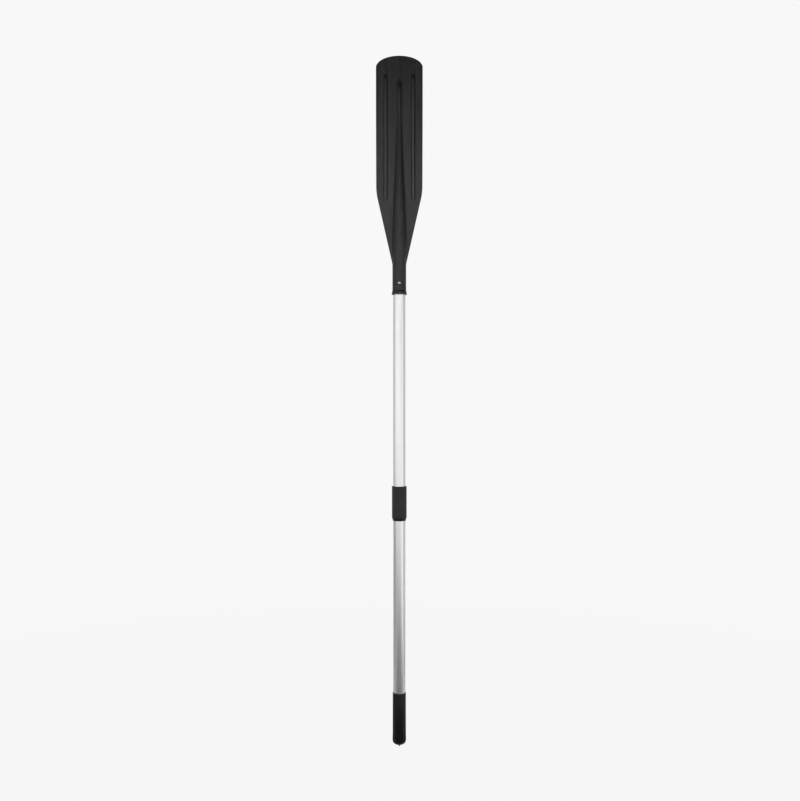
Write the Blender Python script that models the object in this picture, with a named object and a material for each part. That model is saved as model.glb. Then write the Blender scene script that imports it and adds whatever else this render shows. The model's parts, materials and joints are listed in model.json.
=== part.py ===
"""Take-apart rowing oar: blade, middle tube and handle, locked together by snap buttons.

Metres, Z up towards the blade tip. The origin is on the oar's axis, in the middle of the joint sleeve,
where the oar lies in its rowlock. The blade button faces -Y, the joint button and rivets face +Y.
"""

import math

import bmesh
import bpy
from mathutils import Matrix

# Clearances
FIT = 0.0003                    # gap between pieces that touch or slide
HOLE_CLEARANCE = 0.0004         # radial, round a button or a rivet
MERGE = 0.00001

# Tubes
TUBE_RADIUS = 0.0175
TUBE_WALL = 0.0015
MIDDLE_TUBE_LENGTH = 0.740
HANDLE_TUBE_LENGTH = 0.691

# Ferrule of the middle joint
FERRULE_WALL = 0.002
FERRULE_ABOVE_SPRING = 0.023
FERRULE_BELOW_RIVET = 0.058

# Joint sleeve
SLEEVE_WALL = 0.0036
SLEEVE_ABOVE_JOINT = 0.050
SLEEVE_BELOW_JOINT = 0.050
SLEEVE_CHAMFER_HEIGHT = 0.0096
SLEEVE_FOOT_WALL = 0.0007       # what the chamfer leaves of the wall
SLEEVE_EDGE = 0.0007
FINGER_ROOM = 0.004             # between the joint button and the edge of its window

# Blade: heights are above the socket's rim
BLADE_LENGTH = 0.695
SOCKET_DEPTH = 0.134            # how far the tube goes in
SOCKET_WALL = 0.0022
RIM_LIP = 0.0017
RIM_HEIGHT = 0.0065
RIM_SLOPE_HEIGHT = 0.0055       # from the lip down to the socket's face
POCKET_ROOF = 0.008             # solid blade above the tube's pocket
BLADE_WIDTH = 0.136             # where the rounded tip starts
SHOULDER_INSET = 0.0008         # by which each edge lies further in at the shoulder
WEB_THICKNESS = 0.0046
WEB_EDGE = 0.0016
NECK_HEIGHT = 0.082             # where the web starts, still inside the socket's wall
FLARE_LENGTH = 0.215            # from the neck to the shoulder
SHOULDER_ROUNDING = 0.019       # along each edge
TIP_CROWN = 0.034               # height of the rounded tip, half an ellipse
SPINE_TO_TIP = 0.077
SPINE_SLIM_LENGTH = 0.114       # its last stretch, of one width
SPINE_SLIM_HALF_WIDTH = 0.0073
SPINE_SLIM_RISE = 0.0028        # above the web
RIB_FROM_EDGE = 0.028           # from the blade's edge to the rib's middle
RIB_WIDTH = 0.0125
RIB_RISE = 0.0026               # above the web
RIB_CREST_EDGE = 0.0022
RIB_BELOW_SHOULDER = 0.022
RIB_TO_TIP = 0.057

# Snap buttons and their springs
BUTTON_RADIUS = 0.004
BUTTON_DOME = 0.0016
BUTTON_FLANGE = 0.001           # by which the foot is wider than the button
BUTTON_FOOT_THICKNESS = 0.0012
BLADE_BUTTON_HEIGHT = 0.033     # above the rim
BLADE_BUTTON_PROUD = 0.0015     # beyond the socket's face
JOINT_BUTTON_HEIGHT = 0.022     # above the joint
JOINT_BUTTON_PROUD = 0.0015     # beyond the tube's face
LEAF_WIDTH = 0.008
LEAF_THICKNESS = 0.0006
LEAF_PAD = 0.012
LEAF_LENGTH = 0.045
LEAF_BEND_RADIUS = 0.003

# Blind rivets
RIVET_RADIUS = 0.0024
RIVET_WALL = 0.0009
RIVET_HEAD_OVERHANG = 0.0021
RIVET_HEAD_HEIGHT = 0.0014
RIVET_TAIL_BULGE = 0.001
RIVET_TAIL_LENGTH = 0.003
RIVET_TAIL_TAPER = 0.001
RIVET_STEM_RECESS = 0.0006
RIVET_STEM_HEAD = 0.0022
RIVET_ABOVE_CHAMFER = 0.0084
RIVET_PITCH = 0.018

# Plugs and bung
PLUG_FLANGE = 0.002
PLUG_FLANGE_INSET = 0.0002      # behind the tube's face
PLUG_LENGTH = 0.018
PLUG_EDGE = 0.001
BUNG_LENGTH = 0.020
BUNG_ABOVE_FERRULE = 0.005

# Grip
GRIP_LENGTH = 0.150
GRIP_WALL = 0.00135
GRIP_END_WALL = 0.0054
GRIP_BULGE = 0.0004
GRIP_BULGE_LENGTH = 0.005
GRIP_BULGE_TAPER = 0.018
GRIP_END_ROUNDING = 0.013
GRIP_MOUTH_ROUNDING = 0.0006
NUB_RADIUS = 0.0034
NUB_LENGTH = 0.006
NUB_ROUNDING = 0.0014

# Fineness of round pieces
ROUND_STEPS = 48
SMALL_STEPS = 20
TIP_STEPS = 24
TAPER_STEPS = 8
SHARP_ANGLE = math.radians(32)

# Worked out from the sizes above
TUBE_BORE = TUBE_RADIUS - TUBE_WALL
FERRULE_RADIUS = TUBE_BORE - FIT
FERRULE_BORE = FERRULE_RADIUS - FERRULE_WALL
FERRULE_TOP = JOINT_BUTTON_HEIGHT + LEAF_LENGTH + FERRULE_ABOVE_SPRING
SLIP_BORE = TUBE_RADIUS + FIT
SLEEVE_RADIUS = SLIP_BORE + SLEEVE_WALL
BUTTON_FOOT_RADIUS = BUTTON_RADIUS + BUTTON_FLANGE
WINDOW_RADIUS = BUTTON_RADIUS + FINGER_ROOM
LOWER_RIVET_Z = -SLEEVE_BELOW_JOINT + SLEEVE_CHAMFER_HEIGHT + RIVET_ABOVE_CHAMFER
UPPER_RIVET_Z = LOWER_RIVET_Z + RIVET_PITCH
FERRULE_FOOT = LOWER_RIVET_Z - FERRULE_BELOW_RIVET
RIVET_BORE = RIVET_RADIUS - RIVET_WALL
SOCKET_RADIUS = SLIP_BORE + SOCKET_WALL
RIM_Z = MIDDLE_TUBE_LENGTH - SOCKET_DEPTH
POCKET_DEPTH = SOCKET_DEPTH + FIT + PLUG_FLANGE + FIT
SPINE_START = POCKET_DEPTH + POCKET_ROOF
SPINE_TIP = BLADE_LENGTH - SPINE_TO_TIP
SHOULDER_HEIGHT = NECK_HEIGHT + FLARE_LENGTH
PLUG_RADIUS = TUBE_BORE - FIT
HANDLE_TUBE_FOOT = -HANDLE_TUBE_LENGTH
GRIP_FLOOR = HANDLE_TUBE_FOOT - FIT - PLUG_FLANGE - FIT
GRIP_FOOT = GRIP_FLOOR - GRIP_END_WALL


def clear_scene():
    for thing in list(bpy.data.objects):
        bpy.data.objects.remove(thing, do_unlink=True)


def make_material(name, colour, roughness, metallic=0.0):
    material = bpy.data.materials.new(name)
    material.use_nodes = True
    shader = material.node_tree.nodes["Principled BSDF"]
    shader.inputs["Base Color"].default_value = (*colour, 1.0)
    shader.inputs["Roughness"].default_value = roughness
    shader.inputs["Metallic"].default_value = metallic
    material.diffuse_color = (*colour, 1.0)
    return material


def make_section(name, height, parent=None):
    """An empty on the oar's axis that carries one section, at a height above its parent."""
    section = bpy.data.objects.new(name, None)
    section.empty_display_size = 0.05
    section.location.z = height
    section.parent = parent
    bpy.context.collection.objects.link(section)
    return section


def make_object(name, mesh_data, material=None, parent=None):
    """Makes a named object of a bmesh, smooth where its faces meet at a small angle."""
    bmesh.ops.remove_doubles(mesh_data, verts=mesh_data.verts, dist=MERGE)
    bmesh.ops.recalc_face_normals(mesh_data, faces=mesh_data.faces)
    mesh = bpy.data.meshes.new(name)
    mesh_data.to_mesh(mesh)
    mesh_data.free()
    mesh.shade_smooth()
    mesh.set_sharp_from_angle(angle=SHARP_ANGLE)
    if material:
        mesh.materials.append(material)
    piece = bpy.data.objects.new(name, mesh)
    piece.parent = parent
    bpy.context.collection.objects.link(piece)
    return piece


def turned(outline, steps=ROUND_STEPS):
    """Turns (radius, height) points about Z. An outline that leaves the axis is closed into a ring."""
    shape = bmesh.new()
    corners = [shape.verts.new((radius, 0, height)) for radius, height in outline]
    pairs = list(zip(corners, corners[1:]))
    if outline[0][0] > 0:
        pairs.append((corners[-1], corners[0]))
    edges = [shape.edges.new(pair) for pair in pairs]
    bmesh.ops.spin(
        shape, geom=corners + edges, axis=(0, 0, 1), cent=(0, 0, 0), angle=math.tau,
        steps=steps, use_merge=True)
    return shape


def arc(centre_radius, centre_height, radius, start, end, steps):
    """Points of a round stretch of an outline, from angle start to angle end in degrees."""
    angles = [math.radians(start + (end - start) * i / steps) for i in range(steps + 1)]
    return [
        (centre_radius + radius * math.cos(a), centre_height + radius * math.sin(a)) for a in angles]


def pipe(bore, radius, foot, top):
    return turned([(bore, foot), (radius, foot), (radius, top), (bore, top)])


def hide_tool(tool):
    tool.hide_render = True
    tool.display_type = "WIRE"
    return tool


def side_drill(name, radius, height, reach, facing, parent):
    """A cutter for a round hole through one wall. facing is -1 for the front, 1 for the back."""
    shape = turned([(0, 0), (radius, 0), (radius, reach), (0, reach)], SMALL_STEPS)
    tool = make_object(name, shape, parent=parent)
    tool.location.z = height
    tool.rotation_euler.x = -facing * math.pi / 2
    return hide_tool(tool)


def combine(piece, tool, operation):
    step = piece.modifiers.new(tool.name, "BOOLEAN")
    step.operation = operation
    step.solver = "EXACT"
    step.object = tool


def settle(*pieces):
    """Applies the cuts and unions of finished pieces, so that their new edges are shaded sharp too.

    Their large flat faces then set the shading, which keeps them free of streaks.
    """
    bpy.context.view_layer.update()
    graph = bpy.context.evaluated_depsgraph_get()
    for piece in pieces:
        mesh = bpy.data.meshes.new_from_object(piece.evaluated_get(graph))
        piece.modifiers.clear()
        piece.data = mesh
        mesh.shade_smooth()
        mesh.set_sharp_from_angle(angle=SHARP_ANGLE)
        shading = piece.modifiers.new("shading", "WEIGHTED_NORMAL")
        shading.keep_sharp = True


def inside_wall(bore, half_width):
    """How far from the axis a flat face of this half width can lie inside a round bore."""
    return math.sqrt(bore ** 2 - half_width ** 2) - FIT


def make_tube(name, foot, top, material, parent):
    return make_object(name, pipe(TUBE_BORE, TUBE_RADIUS, foot, top), material, parent)


def make_plug(name, radius, flange_radius, length, material, parent):
    """A plug with a flange. Its origin is on the flange's inner face, and the plug goes up from there."""
    outline = [(0, -PLUG_FLANGE), (flange_radius, -PLUG_FLANGE), (flange_radius, 0), (radius, 0)]
    outline += [(radius, length - PLUG_EDGE), (radius - PLUG_EDGE, length), (0, length)]
    return make_object(name, turned(outline), material, parent)


def make_button(name, length, material, parent):
    """A snap button pointing along +Z. Its origin is on the outer face of its foot."""
    crown = (BUTTON_RADIUS ** 2 + BUTTON_DOME ** 2) / (2 * BUTTON_DOME)
    half_angle = math.degrees(math.asin(BUTTON_RADIUS / crown))
    outline = [(0, -BUTTON_FOOT_THICKNESS), (BUTTON_FOOT_RADIUS, -BUTTON_FOOT_THICKNESS)]
    outline += [(BUTTON_FOOT_RADIUS, 0), (BUTTON_RADIUS, 0)]
    outline += arc(0, length - crown, crown, 90 - half_angle, 90, 5)[:-1] + [(0, length)]
    return make_object(name, turned(outline, SMALL_STEPS), material, parent)


def make_leaf_spring(name, button_face, wall_face, material, parent):
    """A bent leaf whose pad bears on the button's foot and whose other arm lies on the far wall.

    button_face and wall_face are the distances from the axis to the two outer faces of the leaf.
    """
    half = LEAF_THICKNESS / 2
    near = button_face - half
    far = -(wall_face - half)
    bend = arc(0, LEAF_LENGTH - LEAF_BEND_RADIUS, LEAF_BEND_RADIUS, 15, 165, 8)
    route = [(near, -LEAF_PAD / 2), (near, LEAF_PAD / 2), *bend, (far, LEAF_PAD / 2), (far, -LEAF_PAD / 2)]
    shape = bmesh.new()
    corners = [shape.verts.new((-LEAF_WIDTH / 2, across, height)) for across, height in route]
    edges = [shape.edges.new(pair) for pair in zip(corners, corners[1:])]
    strip = bmesh.ops.extrude_edge_only(shape, edges=edges)
    moved = [v for v in strip["geom"] if isinstance(v, bmesh.types.BMVert)]
    bmesh.ops.translate(shape, verts=moved, vec=(LEAF_WIDTH, 0, 0))
    spring = make_object(name, shape, material, parent)
    sheet = spring.modifiers.new("thickness", "SOLIDIFY")
    sheet.thickness = LEAF_THICKNESS
    sheet.offset = 0
    sheet.use_even_offset = True
    return spring


def make_handle_section(root, metal, black_plastic, rubber, plug_plastic, steel):
    handle_tube = make_tube("handle_tube", HANDLE_TUBE_FOOT, -FIT / 2, metal, root)
    ferrule = make_object(
        "joint_ferrule",
        pipe(FERRULE_BORE, FERRULE_RADIUS, FERRULE_FOOT, FERRULE_TOP), metal, root)
    sleeve = make_sleeve(black_plastic, root)

    drill_reach = SLEEVE_RADIUS + RIVET_HEAD_HEIGHT
    for which, height in (("upper", UPPER_RIVET_Z), ("lower", LOWER_RIVET_Z)):
        drill = side_drill(
            "rivet_drill_" + which, RIVET_RADIUS + HOLE_CLEARANCE, height, drill_reach, 1, root)
        for piece in (handle_tube, ferrule, sleeve):
            combine(piece, drill, "DIFFERENCE")
        make_rivet(which, height, metal, steel, root)

    button_drill = side_drill(
        "joint_button_drill", BUTTON_RADIUS + HOLE_CLEARANCE, JOINT_BUTTON_HEIGHT, drill_reach, 1, root)
    combine(ferrule, button_drill, "DIFFERENCE")
    window = side_drill("window_cutter", WINDOW_RADIUS, JOINT_BUTTON_HEIGHT, drill_reach, 1, root)
    combine(sleeve, window, "DIFFERENCE")
    settle(handle_tube, ferrule, sleeve)

    foot_face = inside_wall(FERRULE_BORE, BUTTON_FOOT_RADIUS)
    button = make_button(
        "joint_button", TUBE_RADIUS + JOINT_BUTTON_PROUD - foot_face, steel, root)
    button.location = (0, foot_face, JOINT_BUTTON_HEIGHT)
    button.rotation_euler.x = -math.pi / 2
    wall_face = inside_wall(FERRULE_BORE, LEAF_WIDTH / 2)
    spring = make_leaf_spring(
        "joint_button_spring", foot_face - BUTTON_FOOT_THICKNESS - FIT, wall_face, steel, root)
    spring.location.z = JOINT_BUTTON_HEIGHT

    plug = make_plug(
        "ferrule_plug", FERRULE_BORE - FIT, FERRULE_RADIUS, PLUG_LENGTH, plug_plastic, root)
    plug.location.z = FERRULE_FOOT - FIT
    end_plug = make_plug(
        "handle_end_plug", PLUG_RADIUS, TUBE_RADIUS - PLUG_FLANGE_INSET, PLUG_LENGTH, plug_plastic, root)
    end_plug.location.z = HANDLE_TUBE_FOOT - FIT
    make_grip(rubber, root)
    return button_drill


def make_sleeve(material, parent):
    top = SLEEVE_ABOVE_JOINT
    foot = -SLEEVE_BELOW_JOINT
    outline = [(SLIP_BORE, foot), (SLIP_BORE + SLEEVE_FOOT_WALL, foot)]
    outline += [(SLEEVE_RADIUS, foot + SLEEVE_CHAMFER_HEIGHT)]
    outline += [(SLEEVE_RADIUS, top - SLEEVE_EDGE), (SLEEVE_RADIUS - SLEEVE_EDGE, top), (SLIP_BORE, top)]
    return make_object("joint_sleeve", turned(outline), material, parent)


def make_rivet(which, height, metal, steel, parent):
    """A set blind rivet through the back of sleeve, tube and ferrule, with its stem left inside."""
    under_head = SLEEVE_RADIUS + FIT
    head_radius = RIVET_RADIUS + RIVET_HEAD_OVERHANG
    tail_radius = RIVET_RADIUS + RIVET_TAIL_BULGE
    tail_start = inside_wall(FERRULE_BORE, tail_radius)
    tail_end = tail_start - RIVET_TAIL_LENGTH
    head = arc(head_radius - RIVET_HEAD_HEIGHT, under_head, RIVET_HEAD_HEIGHT, 0, 90, 4)
    outline = [(RIVET_BORE, tail_end), (RIVET_RADIUS, tail_end)]
    outline += [(tail_radius, tail_end + RIVET_TAIL_TAPER)]
    outline += [(tail_radius, tail_start), (RIVET_RADIUS, tail_start), (RIVET_RADIUS, under_head)]
    outline += head + [(RIVET_BORE, under_head + RIVET_HEAD_HEIGHT)]
    rivet = make_object("joint_rivet_" + which, turned(outline, SMALL_STEPS), metal, parent)

    stem_top = under_head + RIVET_HEAD_HEIGHT - RIVET_STEM_RECESS
    stem_radius = RIVET_BORE - FIT
    bead = tail_end - FIT - RIVET_STEM_HEAD
    outline = [(0, bead)] + arc(0, bead + RIVET_STEM_HEAD, RIVET_STEM_HEAD, -60, 0, 4)
    outline += [(stem_radius, bead + RIVET_STEM_HEAD), (stem_radius, stem_top), (0, stem_top)]
    stem = make_object("rivet_stem_" + which, turned(outline, SMALL_STEPS), steel, parent)
    for piece in (rivet, stem):
        piece.location.z = height
        piece.rotation_euler.x = -math.pi / 2


def make_grip(material, parent):
    """A dipped grip: a long cup round the end of the tube, a little fuller near its closed end."""
    radius = SLIP_BORE + GRIP_WALL
    top = GRIP_FOOT + GRIP_LENGTH
    full = radius + GRIP_BULGE
    bulge_top = GRIP_FOOT + GRIP_END_ROUNDING + GRIP_BULGE_LENGTH
    nub_foot = GRIP_FOOT - NUB_LENGTH
    outline = [(0, nub_foot)]
    outline += arc(NUB_RADIUS - NUB_ROUNDING, nub_foot + NUB_ROUNDING, NUB_ROUNDING, -90, 0, 3)
    outline += [(NUB_RADIUS, GRIP_FOOT)]
    outline += arc(full - GRIP_END_ROUNDING, GRIP_FOOT + GRIP_END_ROUNDING, GRIP_END_ROUNDING, -90, 0, 6)
    outline += [(full, bulge_top), (radius, bulge_top + GRIP_BULGE_TAPER)]
    outline += [(radius, top - GRIP_MOUTH_ROUNDING), (radius - GRIP_MOUTH_ROUNDING, top)]
    outline += [(SLIP_BORE, top), (SLIP_BORE, GRIP_FLOOR), (0, GRIP_FLOOR)]
    return make_object("grip", turned(outline), material, parent)


def make_middle_section(section, joint_drill, metal, plug_plastic, steel):
    tube = make_tube("middle_tube", FIT / 2, MIDDLE_TUBE_LENGTH, metal, section)
    combine(tube, joint_drill, "DIFFERENCE")
    button_height = RIM_Z + BLADE_BUTTON_HEIGHT
    drill = side_drill(
        "blade_button_drill", BUTTON_RADIUS + HOLE_CLEARANCE, button_height,
        SOCKET_RADIUS + RIM_LIP, -1, section)
    combine(tube, drill, "DIFFERENCE")
    settle(tube)

    foot_face = inside_wall(TUBE_BORE, BUTTON_FOOT_RADIUS)
    button = make_button(
        "blade_button", SOCKET_RADIUS + BLADE_BUTTON_PROUD - foot_face, steel, section)
    button.location = (0, -foot_face, button_height)
    button.rotation_euler.x = math.pi / 2
    wall_face = inside_wall(TUBE_BORE, LEAF_WIDTH / 2)
    spring = make_leaf_spring(
        "blade_button_spring", foot_face - BUTTON_FOOT_THICKNESS - FIT, wall_face, steel, section)
    spring.location.z = button_height
    spring.rotation_euler.z = math.pi

    plug = make_plug(
        "blade_end_plug", PLUG_RADIUS, TUBE_RADIUS - PLUG_FLANGE_INSET, PLUG_LENGTH, plug_plastic, section)
    plug.location.z = MIDDLE_TUBE_LENGTH + FIT
    plug.rotation_euler.x = math.pi
    bung = turned(
        [(0, 0), (PLUG_RADIUS, 0), (PLUG_RADIUS, BUNG_LENGTH), (0, BUNG_LENGTH)])
    bung = make_object("middle_tube_bung", bung, plug_plastic, section)
    bung.location.z = FERRULE_TOP + BUNG_ABOVE_FERRULE
    return drill


def blade_outline():
    """The web's corners (across, height) from the neck up the right side, over the tip and down."""
    half_width = BLADE_WIDTH / 2
    tip_foot = BLADE_LENGTH - TIP_CROWN
    neck = SOCKET_RADIUS - WEB_EDGE
    shoulder = half_width - SHOULDER_INSET
    right = [(neck, NECK_HEIGHT), (shoulder, SHOULDER_HEIGHT)]
    angles = [math.pi * i / TIP_STEPS for i in range(TIP_STEPS + 1)]
    tip = [(half_width * math.cos(a), tip_foot + TIP_CROWN * math.sin(a)) for a in angles]
    left = [(-shoulder, SHOULDER_HEIGHT), (-neck, NECK_HEIGHT)]
    return right + tip + left


def make_web(parent):
    """The flat of the blade: an outline with rounded shoulders, given its thickness."""
    shape = bmesh.new()
    corners = [shape.verts.new((x, -WEB_THICKNESS / 2, z)) for x, z in blade_outline()]
    shape.faces.new(corners)
    shoulders = [corners[1], corners[-2]]
    bmesh.ops.bevel(
        shape, geom=shoulders, offset=SHOULDER_ROUNDING, segments=4, profile=0.5,
        affect="VERTICES", clamp_overlap=True)
    face = next(iter(shape.faces))
    raised = bmesh.ops.extrude_face_region(shape, geom=[face])
    moved = [v for v in raised["geom"] if isinstance(v, bmesh.types.BMVert)]
    bmesh.ops.translate(shape, verts=moved, vec=(0, WEB_THICKNESS, 0))
    web = make_object("blade_web", shape, parent=parent)
    edge = web.modifiers.new("edge", "BEVEL")
    edge.width = WEB_EDGE
    edge.segments = 2
    edge.limit_method = "ANGLE"
    edge.angle_limit = math.radians(60)
    return hide_tool(web)


def make_rib(name, across, parent):
    """A side rib: a long bar with round ends that stands out on both faces of the web."""
    half = RIB_WIDTH / 2
    rise = WEB_THICKNESS / 2 + RIB_RISE
    ends = arc(across, BLADE_LENGTH - RIB_TO_TIP - half, half, 0, 180, 6)
    ends += arc(across, SHOULDER_HEIGHT - RIB_BELOW_SHOULDER + half, half, 180, 360, 6)
    shape = bmesh.new()
    face = shape.faces.new([shape.verts.new((x, -rise, z)) for x, z in ends])
    raised = bmesh.ops.extrude_face_region(shape, geom=[face])
    moved = [v for v in raised["geom"] if isinstance(v, bmesh.types.BMVert)]
    bmesh.ops.translate(shape, verts=moved, vec=(0, 2 * rise, 0))
    rib = make_object(name, shape, parent=parent)
    edge = rib.modifiers.new("edge", "BEVEL")
    edge.width = RIB_CREST_EDGE
    edge.segments = 2
    edge.limit_method = "ANGLE"
    edge.angle_limit = math.radians(60)
    return hide_tool(rib)


def spine_rings():
    """(height, half width, half depth) of the socket and the spine, from the rim to the spine's tip."""
    slim_width = SPINE_SLIM_HALF_WIDTH
    slim_depth = WEB_THICKNESS / 2 + SPINE_SLIM_RISE
    rim = SOCKET_RADIUS + RIM_LIP
    rings = [(0, rim, rim), (RIM_HEIGHT, rim, rim)]
    rings += [(RIM_HEIGHT + RIM_SLOPE_HEIGHT, SOCKET_RADIUS, SOCKET_RADIUS)]
    taper_length = SPINE_TIP - SPINE_SLIM_LENGTH - SPINE_START
    for i in range(TAPER_STEPS + 1):
        share = i / TAPER_STEPS
        width = SOCKET_RADIUS + (slim_width - SOCKET_RADIUS) * share
        depth = SOCKET_RADIUS + (slim_depth - SOCKET_RADIUS) * share
        rings.append((SPINE_START + taper_length * share, width, depth))
    for angle in (0, 35, 65, 82):
        a = math.radians(angle)
        height = SPINE_TIP - slim_width + slim_width * math.sin(a)
        rings.append((height, slim_width * math.cos(a), slim_depth * math.cos(a)))
    return rings


def make_blade(section, button_drill, material):
    """The moulded blade: socket and spine, joined to the web and ribs, then bored for the tube."""
    shape = bmesh.new()
    rings = spine_rings()
    loops = []
    for i, (height, width, depth) in enumerate(rings):
        place = Matrix.Translation((0, 0, height)) @ Matrix.Diagonal((width, depth, 1, 1))
        ring = bmesh.ops.create_circle(
            shape, segments=ROUND_STEPS, radius=1, matrix=place, cap_ends=i in (0, len(rings) - 1))
        loops.append(list({edge for vert in ring["verts"] for edge in vert.link_edges}))
    for lower, upper in zip(loops, loops[1:]):
        bmesh.ops.bridge_loops(shape, edges=lower + upper)
    blade = make_object("blade", shape, material, section)
    combine(blade, make_web(section), "UNION")
    rib_middle = BLADE_WIDTH / 2 - RIB_FROM_EDGE
    for side, across in (("left", -rib_middle), ("right", rib_middle)):
        combine(blade, make_rib("blade_rib_" + side, across, section), "UNION")
    pocket = [(0, -RIM_HEIGHT), (SLIP_BORE, -RIM_HEIGHT), (SLIP_BORE, POCKET_DEPTH), (0, POCKET_DEPTH)]
    bore = hide_tool(make_object("socket_bore", turned(pocket), parent=section))
    combine(blade, bore, "DIFFERENCE")
    combine(blade, button_drill, "DIFFERENCE")
    settle(blade)


def main():
    clear_scene()
    metal = make_material("satin_aluminium", (0.78, 0.79, 0.80), 0.32, 1.0)
    blade_plastic = make_material("blade_plastic", (0.028, 0.029, 0.030), 0.48)
    sleeve_plastic = make_material("sleeve_plastic", (0.026, 0.027, 0.028), 0.5)
    rubber = make_material("grip_vinyl", (0.012, 0.012, 0.013), 0.42)
    plug_plastic = make_material("plug_plastic", (0.10, 0.10, 0.105), 0.55)
    steel = make_material("stainless_steel", (0.72, 0.72, 0.71), 0.25, 1.0)

    handle_section = make_section("handle_section", 0)
    middle_section = make_section("middle_section", 0, handle_section)
    blade_section = make_section("blade_section", RIM_Z, middle_section)
    joint_drill = make_handle_section(
        handle_section, metal, sleeve_plastic, rubber, plug_plastic, steel)
    button_drill = make_middle_section(middle_section, joint_drill, metal, plug_plastic, steel)
    make_blade(blade_section, button_drill, blade_plastic)


main()
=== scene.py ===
import json
import math

import bmesh
import bpy
from mathutils import Matrix, Vector


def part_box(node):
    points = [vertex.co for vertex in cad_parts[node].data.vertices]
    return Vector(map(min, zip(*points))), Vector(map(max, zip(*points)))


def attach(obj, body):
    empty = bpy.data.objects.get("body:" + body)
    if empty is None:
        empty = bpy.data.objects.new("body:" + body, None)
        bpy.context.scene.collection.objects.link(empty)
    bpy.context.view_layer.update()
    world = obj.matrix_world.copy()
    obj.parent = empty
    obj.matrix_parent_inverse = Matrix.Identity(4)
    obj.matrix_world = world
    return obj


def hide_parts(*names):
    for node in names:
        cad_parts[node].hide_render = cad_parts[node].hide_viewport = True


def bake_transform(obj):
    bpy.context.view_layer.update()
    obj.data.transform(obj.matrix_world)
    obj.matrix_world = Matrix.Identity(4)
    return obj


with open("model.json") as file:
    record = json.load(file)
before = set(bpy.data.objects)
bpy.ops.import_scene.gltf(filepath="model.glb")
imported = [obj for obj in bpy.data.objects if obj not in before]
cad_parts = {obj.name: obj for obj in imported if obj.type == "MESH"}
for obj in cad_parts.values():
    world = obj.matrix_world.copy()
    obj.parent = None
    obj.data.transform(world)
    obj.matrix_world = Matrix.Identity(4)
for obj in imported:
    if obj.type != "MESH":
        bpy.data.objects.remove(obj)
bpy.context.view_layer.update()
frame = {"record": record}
bodyOfNode = {
    node: body for body, nodes in frame["record"]["behaviour"]["bodies"].items() for node in nodes}
mergeDistance = 0.00001
quarterTurn = math.pi / 2
print("packed oar loaded")


# Camera: square to the front of the oar, a little above the middle of its length
view = {"side": 0.002, "distance": 2.8, "height": 0.299, "lens": 43.3}


def addCamera():
    lens = bpy.data.cameras.new("front_camera")
    lens.lens = view["lens"]
    camera = bpy.data.objects.new("front_camera", lens)
    camera.location = (view["side"], -view["distance"], view["height"])
    camera.rotation_euler = (quarterTurn, 0, 0)
    bpy.context.collection.objects.link(camera)
    bpy.context.scene.camera = camera


addCamera()
print("camera placed")


# Shader maths in plain Python
class Signal:
    # what comes out of a node: + - and * on it add the Math nodes
    def __init__(self, recipe, socket):
        self.recipe = recipe
        self.socket = socket

    def maths(self, operation, first, second):
        return self.recipe.add("ShaderNodeMath", {"operation": operation}, {0: first, 1: second})

    def __add__(self, other):
        return self.maths("ADD", self, other)

    def __radd__(self, other):
        return self.maths("ADD", other, self)

    def __sub__(self, other):
        return self.maths("SUBTRACT", self, other)

    def __rsub__(self, other):
        return self.maths("SUBTRACT", other, self)

    def __mul__(self, other):
        return self.maths("MULTIPLY", self, other)

    def __rmul__(self, other):
        return self.maths("MULTIPLY", other, self)

    def atMost(self, other):
        return self.maths("MINIMUM", self, other)

    def size(self):
        return self.maths("ABSOLUTE", self, 0)


class Recipe:
    # the nodes of one finish, in a material or in the world
    def __init__(self, owner):
        owner.use_nodes = True
        self.owner = owner
        self.tree = owner.node_tree

    def add(self, kind, settings=None, sockets=None, output=0):
        node = self.tree.nodes.new(kind)
        for name, value in (settings or {}).items():
            setattr(node, name, value)
        for name, value in (sockets or {}).items():
            if isinstance(value, Signal):
                self.tree.links.new(value.socket, node.inputs[name])
            else:
                node.inputs[name].default_value = value
        return Signal(self, node.outputs[output])

    def place(self, stretch=(1, 1, 1)):
        point = self.add("ShaderNodeTexCoord", output="Object")
        return self.add("ShaderNodeMapping", None, {"Vector": point, "Scale": stretch})

    def along(self, axis):
        point = self.add("ShaderNodeTexCoord", output="Object")
        return self.add("ShaderNodeSeparateXYZ", None, {"Vector": point}, output=axis)

    def step(self, value, start, end):
        # 0 before the start, 1 after the end and smooth in between
        return self.add("ShaderNodeMapRange", {"interpolation_type": "SMOOTHSTEP"}, {
            "Value": value, "From Min": start, "From Max": end})

    def noise(self, stretch, scale, detail=2.0, roughness=0.5):
        return self.add("ShaderNodeTexNoise", None, {
            "Vector": self.place(stretch), "Scale": scale, "Detail": detail, "Roughness": roughness})

    def blendColours(self, share, first, second):
        # a colour is a signal or three numbers; the Mix node takes colours at 6 and 7, and gives one at 2
        first, second = [c if isinstance(c, Signal) else (*c, 1) for c in (first, second)]
        return self.add("ShaderNodeMix", {"data_type": "RGBA"}, {0: share, 6: first, 7: second}, output=2)

    def relief(self, height, depth, strength=1.0):
        return self.add("ShaderNodeBump", None, {
            "Height": height, "Distance": depth, "Strength": strength})

    def finish(self, **sockets):
        # the constants and links of the Principled shader, by socket name with _ for a space
        shader = self.tree.nodes["Principled BSDF"]
        for name, value in sockets.items():
            socket = shader.inputs[name.replace("_", " ")]
            if isinstance(value, Signal):
                self.tree.links.new(value.socket, socket)
            else:
                socket.default_value = value
        return self.owner

    def endWith(self, signal):
        ending = self.tree.nodes.get("Material Output") or self.tree.nodes["World Output"]
        self.tree.links.new(signal.socket, ending.inputs["Surface"])


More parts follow.
